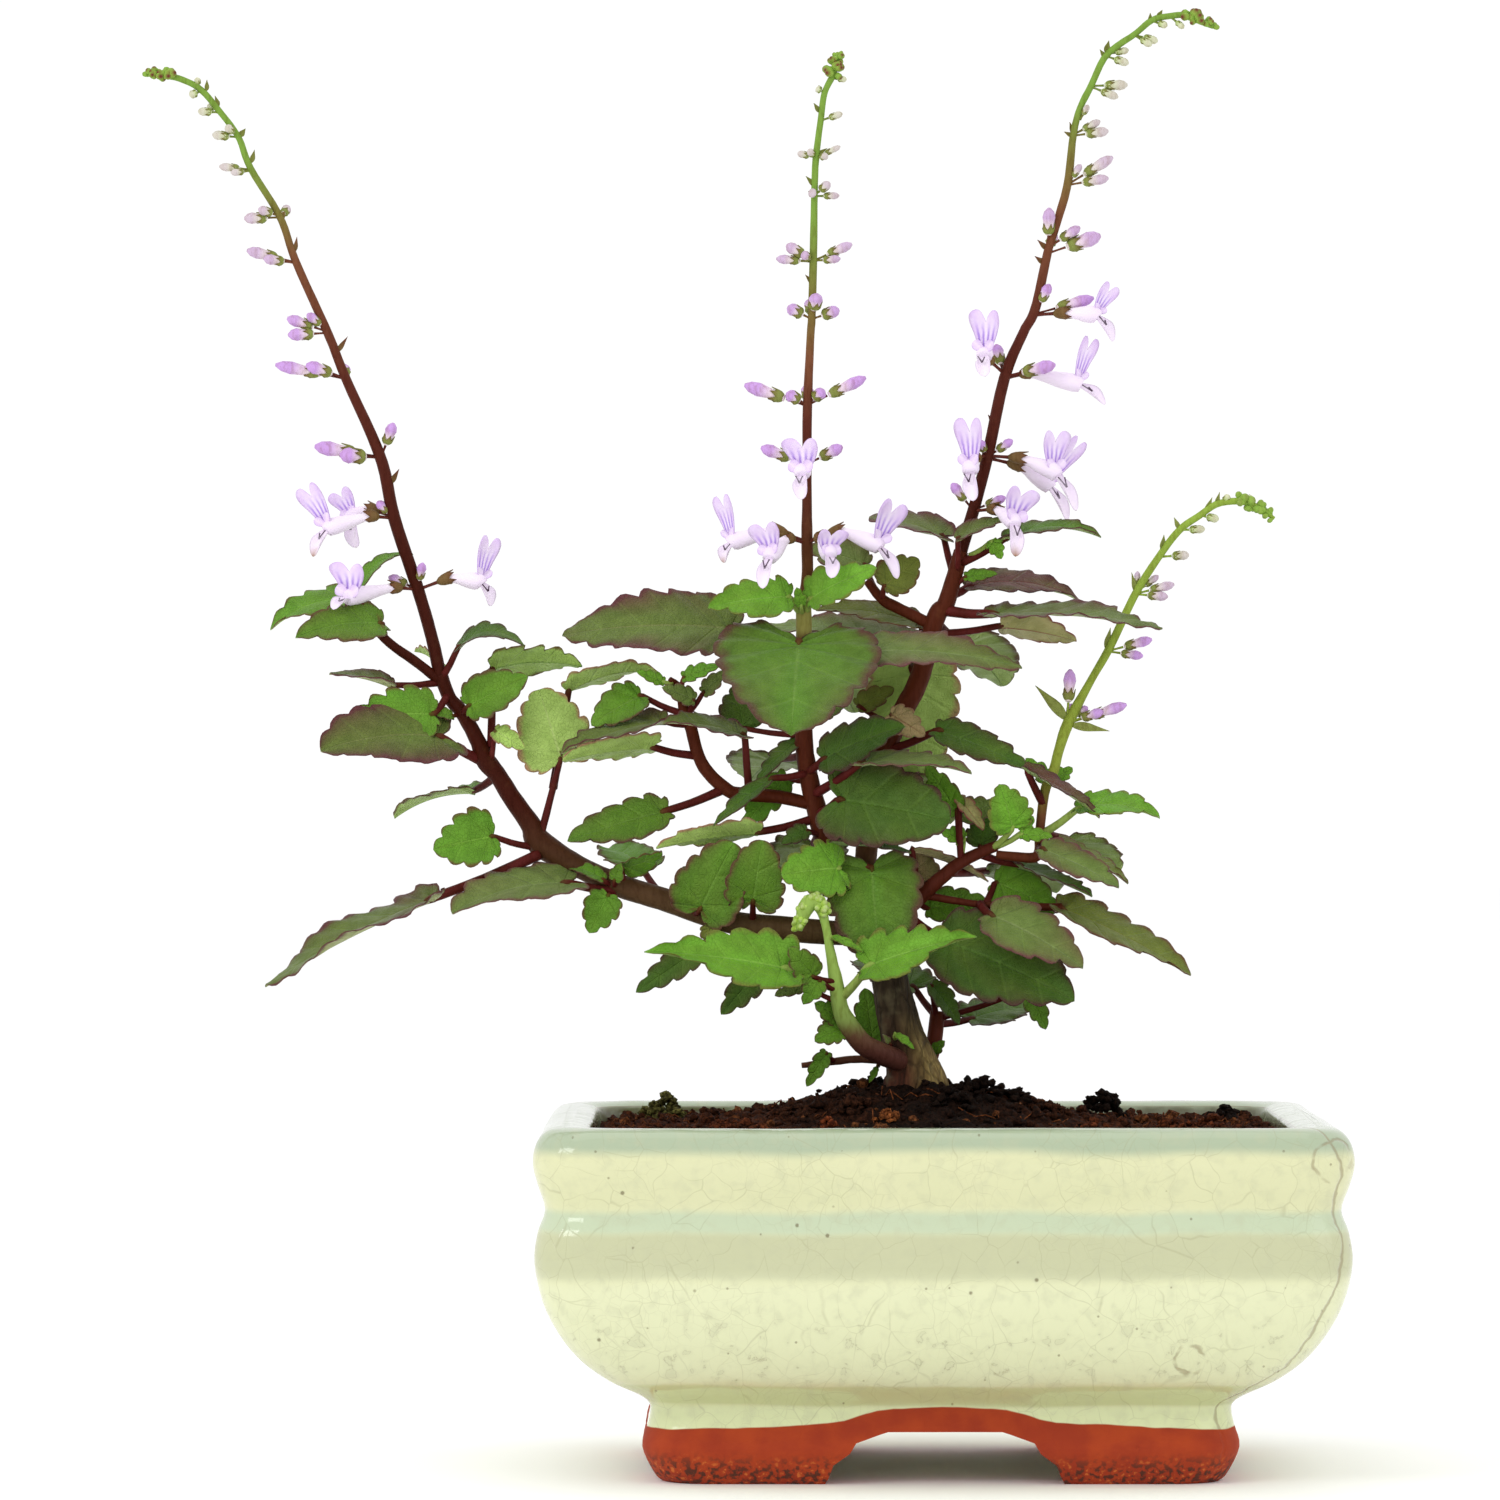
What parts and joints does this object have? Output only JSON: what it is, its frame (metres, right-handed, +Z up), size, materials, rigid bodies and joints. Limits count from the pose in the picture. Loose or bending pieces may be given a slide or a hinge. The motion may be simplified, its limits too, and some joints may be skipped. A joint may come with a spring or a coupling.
{
  "type": "potted plectranthus",
  "caption": "Small woody-based flowering shrub with scalloped leaves and upright flower spikes, growing in a rectangular glazed footed pot.",
  "frame": {"origin": "centre of the whole object's bounding box in plan, on the surface the pot's feet stand on", "axes": "+X to the right seen from the front, -Y to the front, +Z up; the pot's long side runs along X"},
  "size_m": [0.2238, 0.1176, 0.2751],
  "materials": {
    "glaze": "glossy celadon cream glaze with a fine crackle; bare rough terracotta on the feet",
    "soil": "damp crumbly peat and coir",
    "bark": "rough grey-brown bark",
    "leaf": "semi-matt green leaf on maroon-brown stems",
    "spike": "maroon to olive flower stem with green and violet buds",
    "corolla": "thin white to lilac petal"
  },
  "bodies": {
    "root": {"pot": "glaze", "soil": "soil", "trunk": "bark", "left_branch": "leaf", "middle_stem": "leaf", "right_stem": "leaf", "side_branch": "leaf", "far_spike": "leaf", "front_shoot": "leaf", "base_twig": "leaf", "back_stub": "leaf", "left_spike": "spike", "middle_spike": "spike", "right_spike": "spike", "left_bloom_1": "corolla", "left_bloom_2": "corolla", "left_bloom_3": "corolla", "left_bloom_4": "corolla", "middle_bloom_1": "corolla", "middle_bloom_2": "corolla", "middle_bloom_3": "corolla", "middle_bloom_4": "corolla", "middle_bloom_5": "corolla", "right_bloom_1": "corolla", "right_bloom_2": "corolla", "right_bloom_3": "corolla", "right_bloom_4": "corolla", "right_bloom_5": "corolla", "right_bloom_6": "corolla", "right_bloom_7": "corolla"}
  },
  "joints": []
}
